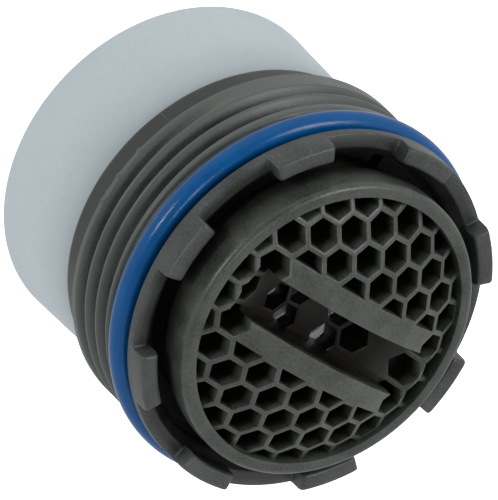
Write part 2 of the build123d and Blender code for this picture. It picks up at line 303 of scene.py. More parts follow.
def turned(profile, angle):
    """Points of a profile of radius and height, turned about the axis."""
    a = math.radians(angle)
    return [(r * math.cos(a), r * math.sin(a), z) for r, z in profile]


def ring_faces(columns, rows):
    """Quads between closed columns of points that follow each other round the axis."""
    faces = []
    for i in range(columns):
        here, there = i * rows, (i + 1) % columns * rows
        for j in range(rows):
            k = (j + 1) % rows
            faces.append((here + j, there + j, there + k, here + k))
    return faces


def lathe(profile):
    """Ring of quads from a closed profile of radius and height."""
    verts = []
    for i in range(RING_STEPS):
        verts += turned(profile, 360.0 * i / RING_STEPS)
    return verts, ring_faces(RING_STEPS, len(profile))


def rise(z, start, length):
    """Smooth step from nought to one."""
    t = np.clip((z - start) / length, 0.0, 1.0)
    return t * t * (3.0 - 2.0 * t)


def ridge(place, centre, width):
    """Bell-shaped ridge of height one."""
    return np.exp(-(((place - centre) / width) ** 2))


# Material helpers

# Places of the colour sockets on a mix node, whose names repeat
MIX_A, MIX_B, MIX_RESULT = 6, 7, 2
# Values between which noise mostly lies
NOISE_RANGE = (0.3, 0.7)
BUMP_HEIGHT = 0.02 * MM
BUMP_STRENGTH = 0.5


def material(name, colour, roughness, specular):
    """Material with a plain shader; returns the material, its node tree and the shader."""
    made = bpy.data.materials.new(name)
    made.use_nodes = True
    tree = made.node_tree
    shader = tree.nodes["Principled BSDF"]
    shader.inputs["Base Color"].default_value = (*colour, 1.0)
    shader.inputs["Roughness"].default_value = roughness
    shader.inputs["Specular IOR Level"].default_value = specular
    return made, tree, shader


def object_coords(tree):
    return tree.nodes.new("ShaderNodeTexCoord").outputs["Object"]


def attribute(tree, name):
    """Value stored on the vertices of a mesh, zero where the mesh has none."""
    node = tree.nodes.new("ShaderNodeAttribute")
    node.attribute_name = name
    return node.outputs["Fac"]


def noise(tree, source, scale, detail, roughness=0.5):
    node = tree.nodes.new("ShaderNodeTexNoise")
    node.inputs["Scale"].default_value = scale
    node.inputs["Detail"].default_value = detail
    node.inputs["Roughness"].default_value = roughness
    tree.links.new(source, node.inputs["Vector"])
    return node.outputs["Fac"]


def ramp(tree, fac, stops):
    """Colour that runs between two stops of a position and a colour."""
    node = tree.nodes.new("ShaderNodeValToRGB")
    for element, (position, colour) in zip(node.color_ramp.elements, stops):
        element.position = position
        element.color = (*colour, 1.0)
    tree.links.new(fac, node.inputs["Fac"])
    return node.outputs["Color"]


def map_range(tree, value, source, target=(0.0, 1.0)):
    """Value mapped from one range to another and held to its ends."""
    node = tree.nodes.new("ShaderNodeMapRange")
    for name, number in zip(("From Min", "From Max", "To Min", "To Max"), (*source, *target)):
        node.inputs[name].default_value = number
    tree.links.new(value, node.inputs["Value"])
    return node.outputs["Result"]


def calculate(tree, operation, first, second):
    """Math node on a value and a second value, which may be a plain number."""
    node = tree.nodes.new("ShaderNodeMath")
    node.operation = operation
    tree.links.new(first, node.inputs[0])
    if isinstance(second, float):
        node.inputs[1].default_value = second
    else:
        tree.links.new(second, node.inputs[1])
    return node.outputs["Value"]


def mix_values(tree, first, second, share):
    """Two values mixed, with this share of the second."""
    node = tree.nodes.new("ShaderNodeMix")
    node.inputs["Factor"].default_value = share
    tree.links.new(first, node.inputs["A"])
    tree.links.new(second, node.inputs["B"])
    return node.outputs["Result"]


def blend(tree, fac, tone, colour):
    """Tone that turns to a colour as the factor rises."""
    node = tree.nodes.new("ShaderNodeMix")
    node.data_type = "RGBA"
    tree.links.new(fac, node.inputs["Factor"])
    tree.links.new(tone, node.inputs[MIX_A])
    node.inputs[MIX_B].default_value = (*colour, 1.0)
    return node.outputs[MIX_RESULT]


def bump(tree, shader, height):
    """Fine bump of the surface, too shallow to be a shape."""
    node = tree.nodes.new("ShaderNodeBump")
    node.inputs["Strength"].default_value = BUMP_STRENGTH
    node.inputs["Distance"].default_value = BUMP_HEIGHT
    tree.links.new(height, node.inputs["Height"])
    tree.links.new(node.outputs["Normal"], shader.inputs["Normal"])


# Materials

# Blotches are this many grains across, and have this share in the tone
BLOTCH_GRAINS = 14
BLOTCH_SHARE = 0.45
# Values of the mixed noise at which the tone is darkest and lightest
TONE_RANGE = (0.34, 0.66)
# Rubbed edges with painted highlight are lighter by this factor and lift, and get at least this much
# of it
RUB_AND_HIGHLIGHT_FACTOR = 1.9
RUB_AND_HIGHLIGHT_LIFT = 0.01
LEAST_RUB_AND_HIGHLIGHT = 0.1
# Crests of the thread are lighter by this factor, rubbed and with painted highlight
CREST_FACTOR = 2.1
# Share of red, green and blue that the painted shade leaves at the dark depth
DEEP_SHARES = (0.14, 0.1, 0.07)
# How far the roughness wanders to each side
GLOSS_SPREAD = 0.06


def moulded_plastic(
    name, colour, roughness, contrast, grain, wear_and_highlight=0.6, painted_shade=None, specular=0.5
):
    """Satin moulded plastic with a fine grain, faint blotches, uneven gloss, edges rubbed lighter
    with painted highlight, thread crests lighter with painted highlight, and painted shade by stored
    depth.

    A painted shade gives the height where the tone starts to darken, the height where it is darkest,
    the power of the change and the share of the colour that is left.
    """
    made, tree, shader = material(name, colour, roughness, specular)
    where = object_coords(tree)
    fine = noise(tree, where, scale=grain, detail=3.0, roughness=0.6)
    broad = noise(tree, where, scale=grain / BLOTCH_GRAINS, detail=3.0, roughness=0.55)
    dark = [c * (1 - contrast) for c in colour]
    light = [c * (1 + contrast) for c in colour]
    mixed = mix_values(tree, fine, broad, BLOTCH_SHARE)
    tone = ramp(tree, mixed, zip(TONE_RANGE, (dark, light)))
    # Rubbed tone and painted highlight on bent edges, patchy
    patchy = map_range(tree, broad, NOISE_RANGE, (LEAST_RUB_AND_HIGHLIGHT, wear_and_highlight))
    rub_and_highlight_share = calculate(tree, "MULTIPLY", attribute(tree, "wear_and_highlight"), patchy)
    tone = blend(tree, rub_and_highlight_share, tone, [min(1.0, RUB_AND_HIGHLIGHT_FACTOR * c + RUB_AND_HIGHLIGHT_LIFT) for c in colour])
    # Painted shade that darkens with the stored depth: in the cells, on the slot floor and in the
    # gap round the nozzle
    depth = map_range(tree, attribute(tree, "depth"), (CELL_EDGE, DARK_DEPTH))
    tone = blend(tree, depth, tone, [share * c for share, c in zip(DEEP_SHARES, colour)])
    # Painted shade that darkens the tone below a height
    if painted_shade:
        start, full, power, left = painted_shade
        height = tree.nodes.new("ShaderNodeSeparateXYZ")
        tree.links.new(where, height.inputs["Vector"])
        share = map_range(tree, height.outputs["Z"], (start * MM, full * MM))
        tone = blend(tree, calculate(tree, "POWER", share, power), tone, [left * c for c in colour])
    # Thread crests rubbed lighter, with painted highlight
    tone = blend(tree, attribute(tree, "crest"), tone, [CREST_FACTOR * c for c in colour])
    tree.links.new(tone, shader.inputs["Base Color"])
    gloss = (roughness - GLOSS_SPREAD, roughness + GLOSS_SPREAD)
    tree.links.new(map_range(tree, broad, NOISE_RANGE, gloss), shader.inputs["Roughness"])
    bump(tree, shader, fine)
    return made


def blue_rubber():
    """Semi-gloss blue elastomer with a fine mottle in tone and gloss."""
    made, tree, shader = material("blue_seal", (0.003, 0.08, 0.28), roughness=0.3, specular=0.25)
    where = object_coords(tree)
    fine = noise(tree, where, scale=7000, detail=4.0, roughness=0.65)
    broad = noise(tree, where, scale=900, detail=2.0)
    mixed = mix_values(tree, fine, broad, share=0.5)
    dark, light = (0.001, 0.066, 0.222), (0.0016, 0.095, 0.3)
    tone = ramp(tree, mixed, zip(NOISE_RANGE, (dark, light)))
    tree.links.new(tone, shader.inputs["Base Color"])
    gloss = map_range(tree, fine, NOISE_RANGE, target=(0.11, 0.19))
    tree.links.new(gloss, shader.inputs["Roughness"])
    bump(tree, shader, fine)
    return made


NOZZLE_FINISH = {
    "colour": (0.046, 0.0525, 0.0465), "roughness": 0.34, "contrast": 0.6, "grain": 9000,
}
GREY = moulded_plastic(
    "grey_moulded", (0.0425, 0.049, 0.0445), roughness=0.42, contrast=0.6, grain=9000,
    # Painted shade on the land behind the thread, darker below this height
    painted_shade=(7.87, 7.77, 1.0, 0.6),
)
NOZZLE_GREY = moulded_plastic("nozzle_moulded", **NOZZLE_FINISH)
SLOT_GREY = moulded_plastic("slot_floor", **NOZZLE_FINISH, specular=0.2)
PALE = moulded_plastic(
    "pale_sleeve", (0.5, 0.57, 0.61), roughness=0.55, contrast=0.045, grain=4000, wear_and_highlight=0.2,
    # Painted shade on the sleeve, darker towards the housing
    painted_shade=(2.0, 6.4, 2.3, 0.64),
)
INSERT = moulded_plastic(
    "pale_insert", (0.93, 0.92, 0.98), roughness=0.5, contrast=0.03, grain=4000
)
SEAT = moulded_plastic(
    "slip_ring", (0.018, 0.019, 0.02), roughness=0.7, contrast=0.1, grain=5000, specular=0.2
)
STRAINER = moulded_plastic(
    "strainer_screen", (0.38, 0.42, 0.45), roughness=0.5, contrast=0.05, grain=6000
)
CARTRIDGE = moulded_plastic(
    "cartridge_moulded", (0.55, 0.57, 0.58), roughness=0.45, contrast=0.04, grain=5000
)
BLACK_RUBBER = moulded_plastic(
    "black_seal", (0.022, 0.022, 0.022), roughness=0.6, contrast=0.2, grain=8000
)
BLUE = blue_rubber()


# Housing with its thread and tabs

def thread_radius(angle, z):
    """Radius of the threaded wall at an angle and a height."""
    turns = (angle - FIRST_CREST_ANGLE) / 360.0
    along = (z - FIRST_CREST_Z) / THREAD_PITCH - turns
    nearest = np.abs(along - np.round(along))
    groove_centre = FIRST_CREST_Z + THREAD_PITCH * (np.floor(along) + 0.5 + turns)
    cut = rise(groove_centre, *GROOVE_FADES_IN) * (1.0 - rise(groove_centre, *GROOVE_FADES_OUT))
    flank = np.clip((nearest - CREST_HALF) / (0.5 - CREST_HALF - ROOT_HALF), 0.0, 1.0)
    wave = np.sin(math.pi * nearest) ** 2
    groove = (STRAIGHT_SHARE * flank + (1.0 - STRAIGHT_SHARE) * wave) * cut
    crest = LAND_R + (THREAD_R - LAND_R) * rise(z, *LAND_TO_CREST)
    lip = LIP_DEPTH * rise(z, *LIP_STEP) + RELIEF_DEPTH * ridge(z, RELIEF_Z, RELIEF_WIDTH)
    flash = sum(
        height * ridge(angle, burr_angle, width) * ridge(z, burr_z, BURR_WIDTH_Z)
        for burr_angle, burr_z, width, height in BURRS
    )
    seam = ridge(angle, SEAM_ANGLE, SEAM_WIDTH) * (1.0 - rise(z, *SEAM_FADES_OUT))
    return crest + (LAND_R - crest) * groove - lip + flash + SEAM_HEIGHT * seam


def tab_columns():
    """Angle, tab share and height above the notch of each column round the housing."""
    per_mm = math.degrees(1 / TAB_MID_R)
    flank = -TAB_HALF_ANGLE
    edge = []
    for t in CORNER_TURNS:
        aside = NOTCH_FILLET * (1 - math.sin(t)) * per_mm
        edge.append((flank - FLANK_ANGLE - aside, 0, NOTCH_FILLET * (1 - math.cos(t))))
    for t in CORNER_TURNS:
        aside = TAB_CORNER * (1 - math.cos(t)) * per_mm
        edge.append((flank + aside, 1, TAB_HEIGHT - TAB_CORNER * (1 - math.sin(t))))
    period = 360.0 / TAB_COUNT
    notch = [(a, 0, 0.0) for a in np.linspace(-period / 2, edge[0][0], NOTCH_COLUMNS)[:-1]]
    flat = np.linspace(edge[-1][0], -edge[-1][0], TAB_COLUMNS)[1:-1]
    left = notch + edge
    right = [(-a, tab, height) for a, tab, height in reversed(left[1:])]
    around = left + [(a, 1, TAB_HEIGHT) for a in flat] + right
    columns = [
        (a + period * k, tab, height) for k in range(TAB_COUNT) for a, tab, height in around
    ]
    fine = []
    for (a, tab, height), (b, next_tab, next_height) in zip(columns, columns[1:] + columns[:1]):
        fine.append((a, tab, height))
        if FINE_FROM < a < FINE_TO and tab == next_tab and height == next_height:
            count = round((b - a) / FINE_STEP)
            fine += [(a + (b - a) * i / count, tab, height) for i in range(1, count)]
    return fine


def tab_head(top):
    """Profile over a tab, from the chamfer of the mouth to the outside."""
    level = top - TAB_CORNER
    return [
        (TAB_INNER_R, MOUTH_CHAMFER_Z + CHAMFER_SPLIT),
        *arc((TAB_INNER_R + TAB_CORNER, level), TAB_CORNER, 180, 90, count=4),
        (TAB_MID_R, top),
        *arc((FLANGE_R - TAB_CORNER, level), TAB_CORNER, 90, 0, count=4),
    ]


def notch_head(angle, height):
    """Profile over a notch, whose floor turns up beside a tab and has specks on its outer edge."""
    corner_r = MOUTH_R + NOTCH_Z - MOUTH_CHAMFER_Z
    top = NOTCH_Z + height
    outer = arc((FLANGE_R - RING_EDGE, top - RING_EDGE), RING_EDGE, 90, 0, count=4)
    speck = sum(SPECK_HEIGHT * ridge(angle, a, SPECK_WIDTH) for a in SPECK_ANGLES)
    return [
        (MOUTH_R + CHAMFER_SPLIT, MOUTH_CHAMFER_Z + CHAMFER_SPLIT),
        *((corner_r + out, NOTCH_Z + up + share * height) for out, up, share in NOTCH_ROUND),
        (TAB_MID_R, top),
        *((r, z + share * speck) for (r, z), share in zip(outer, SPECK_SHARES)),
    ]


def housing_mesh():
    inside = [
        (BORE_R, REAR_Z), (BORE_R, BORE_ROW_Z), (BORE_R, GROOVE_Z),
        (LEDGE_R, GROOVE_Z), (LEDGE_R, LEDGE_Z), (LEDGE_R + CONE_ROW, LEDGE_Z + CONE_ROW),
        (MOUTH_R, LEDGE_Z + MOUTH_R - LEDGE_R), (MOUTH_R, MOUTH_CHAMFER_Z - CHAMFER_START),
        *((MOUTH_R + step, MOUTH_CHAMFER_Z + step) for step in CHAMFER_ROWS),
    ]
    groove = [
        (FLANGE_R, FLANGE_Z + RING_EDGE), (FLANGE_R - FLANGE_BLUNT, FLANGE_Z + FLANGE_BLUNT),
        (FLANGE_R - RING_EDGE, FLANGE_Z), (TAB_MID_R, FLANGE_Z),
        (GROOVE_R + RING_EDGE, FLANGE_Z), (GROOVE_R, FLANGE_Z - RING_EDGE),
        (GROOVE_R, GROOVE_ROW_Z), (GROOVE_R, GROOVE_Z + RING_EDGE),
        (GROOVE_R + RING_EDGE, GROOVE_Z), (TAB_MID_R, GROOVE_Z),
    ]
    foot = [(LAND_R - inward, REAR_Z + up) for inward, up in LAND_FOOT] + [(FOOT_ROW_R, REAR_Z)]
    rows = np.arange(GROOVE_Z, REAR_Z + LAND_CHAMFER, -THREAD_STEP)
    columns = tab_columns()
    verts = []
    for angle, tab, height in columns:
        head = tab_head(NOTCH_Z + height) if tab else notch_head(angle, height)
        wall = list(zip(thread_radius(angle, rows), rows))
        profile = inside + head + groove + wall + foot
        verts += turned(profile, angle)
    return verts, ring_faces(len(columns), len(profile))


def crest_rub_and_highlight(r, z):
    """Share of rubbed tone and painted highlight on the thread, full at the crest and none near the
    root.
    """
    if not RUB_AND_HIGHLIGHT_LOW_Z < z < RUB_AND_HIGHLIGHT_HIGH_Z:
        return 0.0
    return min(1.0, max(0.0, (r - RUB_AND_HIGHLIGHT_FROM_R) / (THREAD_R - RUB_AND_HIGHLIGHT_FROM_R)))


def gap_painted_shade(r, z):
    """Painted shade on the housing in the gap round the nozzle, counted as a depth, zero elsewhere.
    """
    beside_seal = r > SEAL_SIDE_R and z < SEAL_SIDE_Z
    if r > GAP_OUTER_R or not GAP_LOW_Z <= z <= GAP_HIGH_Z or beside_seal:
        return 0.0
    return min(GAP_DEPTH, GAP_HOUSING_START + GAP_HOUSING_SLOPE * max(0.0, NOTCH_Z - z))


# Nozzle with its honeycomb

def dome_height(x, y):
    return DOME_Z - DOME_RADIUS + math.sqrt(DOME_RADIUS**2 - x * x - y * y)


def floor_height(x):
    return SLOT_FLOOR_Z + COIN_R - math.sqrt(COIN_R**2 - x * x)


def clip(polygon, point, normal):
    """Part of a convex polygon on the inner side of a line."""
    kept = []
    for i, here in enumerate(polygon):
        there = polygon[(i + 1) % len(polygon)]
        a = (here[0] - point[0]) * normal[0] + (here[1] - point[1]) * normal[1]
        b = (there[0] - point[0]) * normal[0] + (there[1] - point[1]) * normal[1]
        if a <= 0:
            kept.append(here)
        if (a < 0 < b) or (b < 0 < a):
            t = a / (a - b)
            kept.append((here[0] + t * (there[0] - here[0]), here[1] + t * (there[1] - here[1])))
    return kept


def on_circle(radius, turn):
    """Point on a circle at a share of a full turn."""
    return radius * math.cos(2 * math.pi * turn), radius * math.sin(2 * math.pi * turn)


RIM_RING = [on_circle(GRILLE_R, i / RIM_STEPS) for i in range(RIM_STEPS)]


def clip_to_rim(polygon):
    """Part of a convex polygon inside the nozzle rim."""
    if all(math.hypot(x, y) < UNCLIPPED_SHARE * GRILLE_R for x, y in polygon):
        return polygon
    for i in range(RIM_STEPS):
        polygon = clip(polygon, RIM_RING[i], on_circle(1, (i + 0.5) / RIM_STEPS))
        if len(polygon) < 3:
            return []
    return polygon


def cell_centre(column, step):
    return column * CELL_PITCH * math.sqrt(3) / 2, step * CELL_PITCH / 2


def cell_outline(column, step, grow=0.0):
    """Outline of a honeycomb opening, grown by a margin and clipped where the moulding closes it."""
    flat = (CELL_PITCH - CELL_WALL) / 2 + grow
    corner = flat / math.cos(math.pi / 6)
    x0, y0 = cell_centre(column, step)
    corners = [on_circle(corner, i / 6) for i in range(6)]
    outline = [(x0 + x, y0 + y) for x, y in corners]
    side = 1 if y0 > 0 else -1
    key = (abs(column), abs(step))
    if key in BAR_CELLS:
        outline = clip(outline, (0, side * (2 * SLOT_HALF - grow)), (0, -side))
    if key in FLOOR_CELLS:
        outline = clip(outline, (0, side * SLOT_HALF), (0, side))
    return clip_to_rim(outline)


def area(polygon):
    total = 0.0
    for i, (x, y) in enumerate(polygon):
        u, v = polygon[(i + 1) % len(polygon)]
        total += x * v - u * y
    return total / 2


def open_cells():
    """Column and half-pitch step of every open honeycomb cell."""
    cells = []
    reach = range(-CELL_REACH, CELL_REACH + 1)
    for column in reach:
        for row in reach:
            step = 2 * row + column % 2
            if (abs(column), abs(step)) in FILLED_CELLS:
                continue
            outline = cell_outline(column, step)
            if len(outline) > 2 and area(outline) > SMALLEST_CELL_AREA:
                cells.append((column, step))
    return cells


def distance_outside(point, polygon):
    """Distance of a point from a convex polygon, zero inside it."""
    best = math.inf
    inside = True
    for i, (ax, ay) in enumerate(polygon):
        bx, by = polygon[(i + 1) % len(polygon)]
        ex, ey = bx - ax, by - ay
        px, py = point[0] - ax, point[1] - ay
        if ex * py - ey * px < 0:
            inside = False
        length = ex * ex + ey * ey
        t = max(0.0, min(1.0, (px * ex + py * ey) / length)) if length else 0.0
        best = min(best, math.hypot(px - t * ex, py - t * ey))
    return 0.0 if inside else best


def edge_drop(distance):
    """How far a rounded edge lies below the flat at a distance from the opening."""
    if distance >= CELL_EDGE:
        return 0.0
    return CELL_EDGE - math.sqrt(CELL_EDGE**2 - (CELL_EDGE - distance) ** 2)


def slot_end(y):
    """Distance along X where the slot floor runs out on the dome."""
    low, high = SLOT_END_LIMITS
    for _ in range(SLOT_END_HALVINGS):
        x = (low + high) / 2
        if floor_height(x) < dome_height(x, y):
            low = x
        else:
            high = x
    return low


SLOT_END = slot_end(SLOT_HALF)


def plan_lines(cells, holes):
    """Points of the grille seen from above, and the lines that join some of them."""
    points, edges, known = [], [], {}

    def add_run(run, closed):
        """Add a line of points, sharing those that another line already has."""
        line = []
        for x, y in run:
            place = (round(x, PLACE_DIGITS), round(y, PLACE_DIGITS))
            if place not in known:
                known[place] = len(points)
                points.append((x, y))
            line.append(known[place])
        if closed:
            line.append(line[0])
        edges.extend((a, b) for a, b in zip(line, line[1:]) if a != b)

    add_run(RIM_RING, closed=True)
    for column, step in cells:
        for grow in EDGE_MARGINS:
            outline = cell_outline(column, step, grow)
            if len(outline) > 2:
                add_run(outline, closed=True)
    along = np.linspace(-SLOT_END, SLOT_END, SLOT_SIDE_POINTS)
    across = np.linspace(-SLOT_HALF, SLOT_HALF, SLOT_END_POINTS)
    for side in (-1, 1):
        for margin in EDGE_MARGINS:
            add_run([(x, side * (SLOT_HALF + margin)) for x in along], closed=False)
        add_run([(side * slot_end(y), y) for y in across], closed=False)
    for x in np.arange(-GRID_X, GRID_X + GRID_STEP / 2, GRID_STEP):
        for y in np.arange(-GRID_Y, GRID_Y + GRID_STEP / 2, GRID_STEP):
            if math.hypot(x, y) > GRID_R or abs(abs(y) - SLOT_HALF) < GRID_FROM_SLOT:
                continue
            if min(distance_outside((x, y), hole) for hole in holes) > GRID_FROM_CELL:
                points.append((x, y))
    return points, edges


def rim_profile():
    """Outside of the nozzle, from the inner edge of the rim round the ball to the bore."""
    neck_z = PIVOT_Z + math.sqrt(BALL_R**2 - NECK_R**2)
    drop, inset = WAIST_TOP_Z - WAIST_LOW_Z, NOZZLE_R - WAIST_R
    waist = (drop**2 + inset**2) / (2 * inset)
    sweep = math.degrees(math.asin(drop / waist))
    ball_top = math.degrees(math.asin((neck_z - PIVOT_Z) / BALL_R))
    ball_low = math.degrees(math.asin((NOZZLE_REAR_Z - PIVOT_Z) / BALL_R))
    return [
        *((GRILLE_R + out, RIM_Z - down) for out, down in LIP_POINTS),
        (RIM_ROW_R, RIM_Z),
        *arc((NOZZLE_R - RIM_EDGE, RIM_Z - RIM_EDGE), RIM_EDGE, 90, 0, count=7),
        (NOZZLE_R, WALL_LOW_Z),
        *arc((NOZZLE_R - waist, WAIST_TOP_Z), waist, 0, -sweep, count=12),
        NECK_TURN,
        *arc((0, PIVOT_Z), BALL_R, ball_top, ball_low, count=22),
        (REAR_ROW_R, NOZZLE_REAR_Z),
        (NOZZLE_BORE_R, NOZZLE_REAR_Z),
        (NOZZLE_BORE_R, NOZZLE_BORE_ROW_Z),
        (NOZZLE_BORE_R, CAVITY_Z),
    ]


def edges_of(tri):
    return [frozenset((tri[k], tri[(k + 1) % 3])) for k in range(3)]


def grille_plan():
    """Points of the grille seen from above, how far each is from an opening, triangles and hull.

    The triangles are the solid ones, each with whether it is in the slot and whether it is on the
    open floor there. The hull is the set of edges that only one triangle has.
    """
    cells = open_cells()
    holes = [cell_outline(column, step) for column, step in cells]
    centres = [cell_centre(column, step) for column, step in cells]
    points, lines = plan_lines(cells, holes)
    flat, _, tris, _, _, _ = delaunay_2d_cdt([Vector(p) for p in points], lines, [], 0, MERGE)
    flat = [(p.x, p.y) for p in flat]

    def from_cells(point):
        """Distance of a point from the nearest opening, zero inside it."""
        close = [hole for hole, centre in zip(holes, centres) if math.dist(point, centre) < CELL_FAR]
        return min((distance_outside(point, hole) for hole in close), default=CELL_EDGE)

    near = [from_cells(point) for point in flat]
    solid = []
    for tri in tris:
        x, y = (sum(flat[i][k] for i in tri) / 3 for k in (0, 1))
        if from_cells((x, y)) > 0.0:
            in_slot = abs(y) < SLOT_HALF and abs(x) < SLOT_END + SLOT_MARGIN
            on_floor = in_slot and floor_height(x) < dome_height(x, y)
            solid.append((tuple(tri), in_slot, on_floor))
    used = Counter(edge for tri in tris for edge in edges_of(tri))
    hull = {edge for edge, count in used.items() if count == 1}
    return flat, near, solid, hull


class NozzleShell:
    """Points and faces of the nozzle, where each point is made once and found again by its key, with
    a depth that sets its painted shade.
    """

    def __init__(self, flat, near):
        self.flat = flat
        self.near = near
        self.verts = []
        self.shade_depths = []
        self.lookup = {}
        self.faces = []

    def vertex(self, key, xyz, depth):
        if key not in self.lookup:
            self.lookup[key] = len(self.verts)
            self.verts.append(xyz)
            self.shade_depths.append(max(0.0, depth))
        return self.lookup[key]

    def known(self, kind, index):
        """A point in a list, which is empty where there is no such point."""
        key = (kind, index)
        return [self.lookup[key]] if key in self.lookup else []

    def top(self, index, in_slot):
        """Point on the dome or, in the slot, on its floor."""
        x, y = self.flat[index]
        drop = edge_drop(self.near[index])
        dome = dome_height(x, y)
        depth = dome - floor_height(x)
        if in_slot and depth > 0:
            # The stored depth sets painted shade: in full beside the slot's walls, cut to a share
            # elsewhere on the open floor
            beside_wall = abs(abs(y) - SLOT_HALF) < ON_LINE and depth > LEAST_STEP
            kind, share = ("floor", 1.0) if beside_wall else ("top", FLOOR_SHARE)
            return self.vertex((kind, index), (x, y, dome - depth - drop), share * (depth + drop))
        if depth > 0 and abs(x) <= SLOT_END and abs(y) > SLOT_HALF - ON_LINE:
            drop = max(drop, min(edge_drop(abs(y) - SLOT_HALF), 0.5 * depth))
        return self.vertex(("top", index), (x, y, dome - drop), drop)

    def back(self, index):
        """Point on the flat back of the grille."""
        x, y = self.flat[index]
        depth = dome_height(x, y) - GRILLE_BACK_Z
        return self.vertex(("back", index), (x, y, GRILLE_BACK_Z), depth)

    def add_grille(self, solid):
        """Add its front and back; returns the sides of each edge and the faces of the slot floor."""
        sides, floor_faces = {}, []
        for tri, in_slot, on_floor in solid:
            if on_floor:
                floor_faces.append(len(self.faces))
            self.faces.append(tuple(self.top(i, in_slot) for i in tri))
            self.faces.append(tuple(self.back(i) for i in reversed(tri)))
            for edge in edges_of(tri):
                sides.setdefault(edge, []).append(in_slot)
        return sides, floor_faces

    def add_walls(self, sides, hull):
        """Add the walls of the slot and of the cells."""
        for (a, b), in_slot in sides.items():
            if len(set(in_slot)) == 2:
                wall = (self.top(a, False), self.top(b, False), self.top(b, True), self.top(a, True))
                wall = tuple(dict.fromkeys(wall))
                # Past the end of the floor the wall has no height
                if len(wall) > 2:
                    self.faces.append(wall)
            elif len(in_slot) == 1 and frozenset((a, b)) not in hull:
                low_a, low_b = ([] if in_slot[0] else self.known("floor", i) for i in (a, b))
                high_a, high_b = (self.top(i, in_slot[0]) for i in (a, b))
                self.faces.append((high_a, high_b, *low_b, self.back(b), self.back(a), *low_a))

    def add_rim(self, sides, hull):
        """Add the rim, ball and bore, with a strip of points at each point of the hull."""
        around = {i for edge in hull for i in edge}
        around = sorted(around, key=lambda i: math.atan2(self.flat[i][1], self.flat[i][0]))
        strips = [self.rim_strip(i) for i in around]
        for k, i in enumerate(around):
            after = (k + 1) % len(around)
            j = around[after]
            here, there = strips[k], strips[after]
            for m in range(len(here) - 1):
                self.faces.append((here[m], there[m], there[m + 1], here[m + 1]))
            open_back = [] if frozenset((i, j)) in sides else [self.back(j), self.back(i)]
            tops = self.known("top", j), self.known("top", i)
            self.faces.append((here[0], there[0], *tops[0], *open_back, *tops[1]))

    def rim_strip(self, index):
        """Points from the lip round the rim, the ball and the bore to the back of the grille."""
        x, y = self.flat[index]
        r = math.hypot(x, y)
        strip = [self.vertex(("lip", index), (x, y, RIM_Z - LIP_START), 0.0)]
        for k, (radius, z) in enumerate(rim_profile()):
            # Painted shade on the nozzle's waist, growing down into the gap
            depth = min(GAP_DEPTH, GAP_NOZZLE_SLOPE * (WALL_LOW_Z - z))
            strip.append(self.vertex((k, index), (radius * x / r, radius * y / r, z), depth))
        return strip + [self.back(index)]


def nozzle_mesh():
    """Points, faces, depth of each point for its painted shade, and which faces are the open floor
    of the slot.
    """
    flat, near, solid, hull = grille_plan()
    shell = NozzleShell(flat, near)
    sides, floor_faces = shell.add_grille(solid)
    shell.add_walls(sides, hull)
    shell.add_rim(sides, hull)
    return shell.verts, shell.faces, shell.shade_depths, floor_faces


# Plain rings

def o_ring_mesh():
    centre = (SEAL_R, SEAL_Z)
    return lathe(arc(centre, SEAL_SECTION_R, SEAL_FLAT_ANGLE, -SEAL_FLAT_ANGLE, count=40))


def sleeve_mesh():
    return lathe([
        (SLEEVE_BORE_R + INLET_CHAMFER, 0.0),
        *((r, 0.0) for r in INLET_ROWS),
        *arc((INLET_R - INLET_ROUND, INLET_ROUND), INLET_ROUND, 270, 360, count=8),
        *SLEEVE_WALL,
        (SLEEVE_ROW_R, REAR_Z),
        (SPIGOT_R, REAR_Z),
        (SPIGOT_R, SPIGOT_Z - SPIGOT_CHAMFER),
        (SPIGOT_R - SPIGOT_CHAMFER, SPIGOT_Z),
        (SPIGOT_BORE_R, SPIGOT_Z),
        (SPIGOT_BORE_R, SHOULDER_TOP_Z),
        (SHOULDER_R, SHOULDER_TOP_Z),
        (SHOULDER_R, SHOULDER_LOW_Z),
        (SLEEVE_BORE_R, SHOULDER_LOW_Z),
        (SLEEVE_BORE_R, SLEEVE_BORE_ROW_Z),
        (SLEEVE_BORE_R, INLET_CHAMFER),
    ])


# Pieces that stand for CAD nodes

housing_verts, housing_faces = housing_mesh()
housing_places = [(math.hypot(x, y), z) for x, y, z in housing_verts]
add_object(
    "screw_housing", housing_verts, housing_faces, "threaded_housing", "housing", "grey_plastic",
    GREY,
    stored={
        # Rubbed tone and painted highlight on the thread crests
        "crest": [crest_rub_and_highlight(r, z) for r, z in housing_places],
        # Painted shade in the gap round the nozzle
        "depth": [gap_painted_shade(r, z) for r, z in housing_places],
    },
)
add_object("seal_ring", *o_ring_mesh(), "housing_o_ring", "housing", "blue_rubber", BLUE)
nozzle_verts, nozzle_faces, nozzle_shade_depths, floor_faces = nozzle_mesh()
add_object(
    "honeycomb_nozzle", nozzle_verts, nozzle_faces, "swivel_nozzle", "nozzle", "nozzle_plastic",
    NOZZLE_GREY, stored={"depth": nozzle_shade_depths}, inlay=(SLOT_GREY, floor_faces),
)
add_object("pale_cap", *sleeve_mesh(), "cartridge_sleeve", "housing", "pale_plastic", PALE)

# CAD nodes that keep their own shape and get a material

for node, finish in {
    "nozzle_insert": INSERT,
    "seat_ring": SEAT,
    "ball_seal": BLACK_RUBBER,
    "inlet_strainer": STRAINER,
    "regulator_body": CARTRIDGE,
    "regulator_ring": BLACK_RUBBER,
    "jet_splitter": CARTRIDGE,
    "mixing_grid": CARTRIDGE,
}.items():
    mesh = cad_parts[node].data
    mesh.materials.clear()
    mesh.materials.append(finish)


# Floor

FLOOR_HALF = 2
FLOOR_TONES = ((0.89, 0.89, 0.89), (0.91, 0.91, 0.91))
FLOOR_GLOW = 0.9

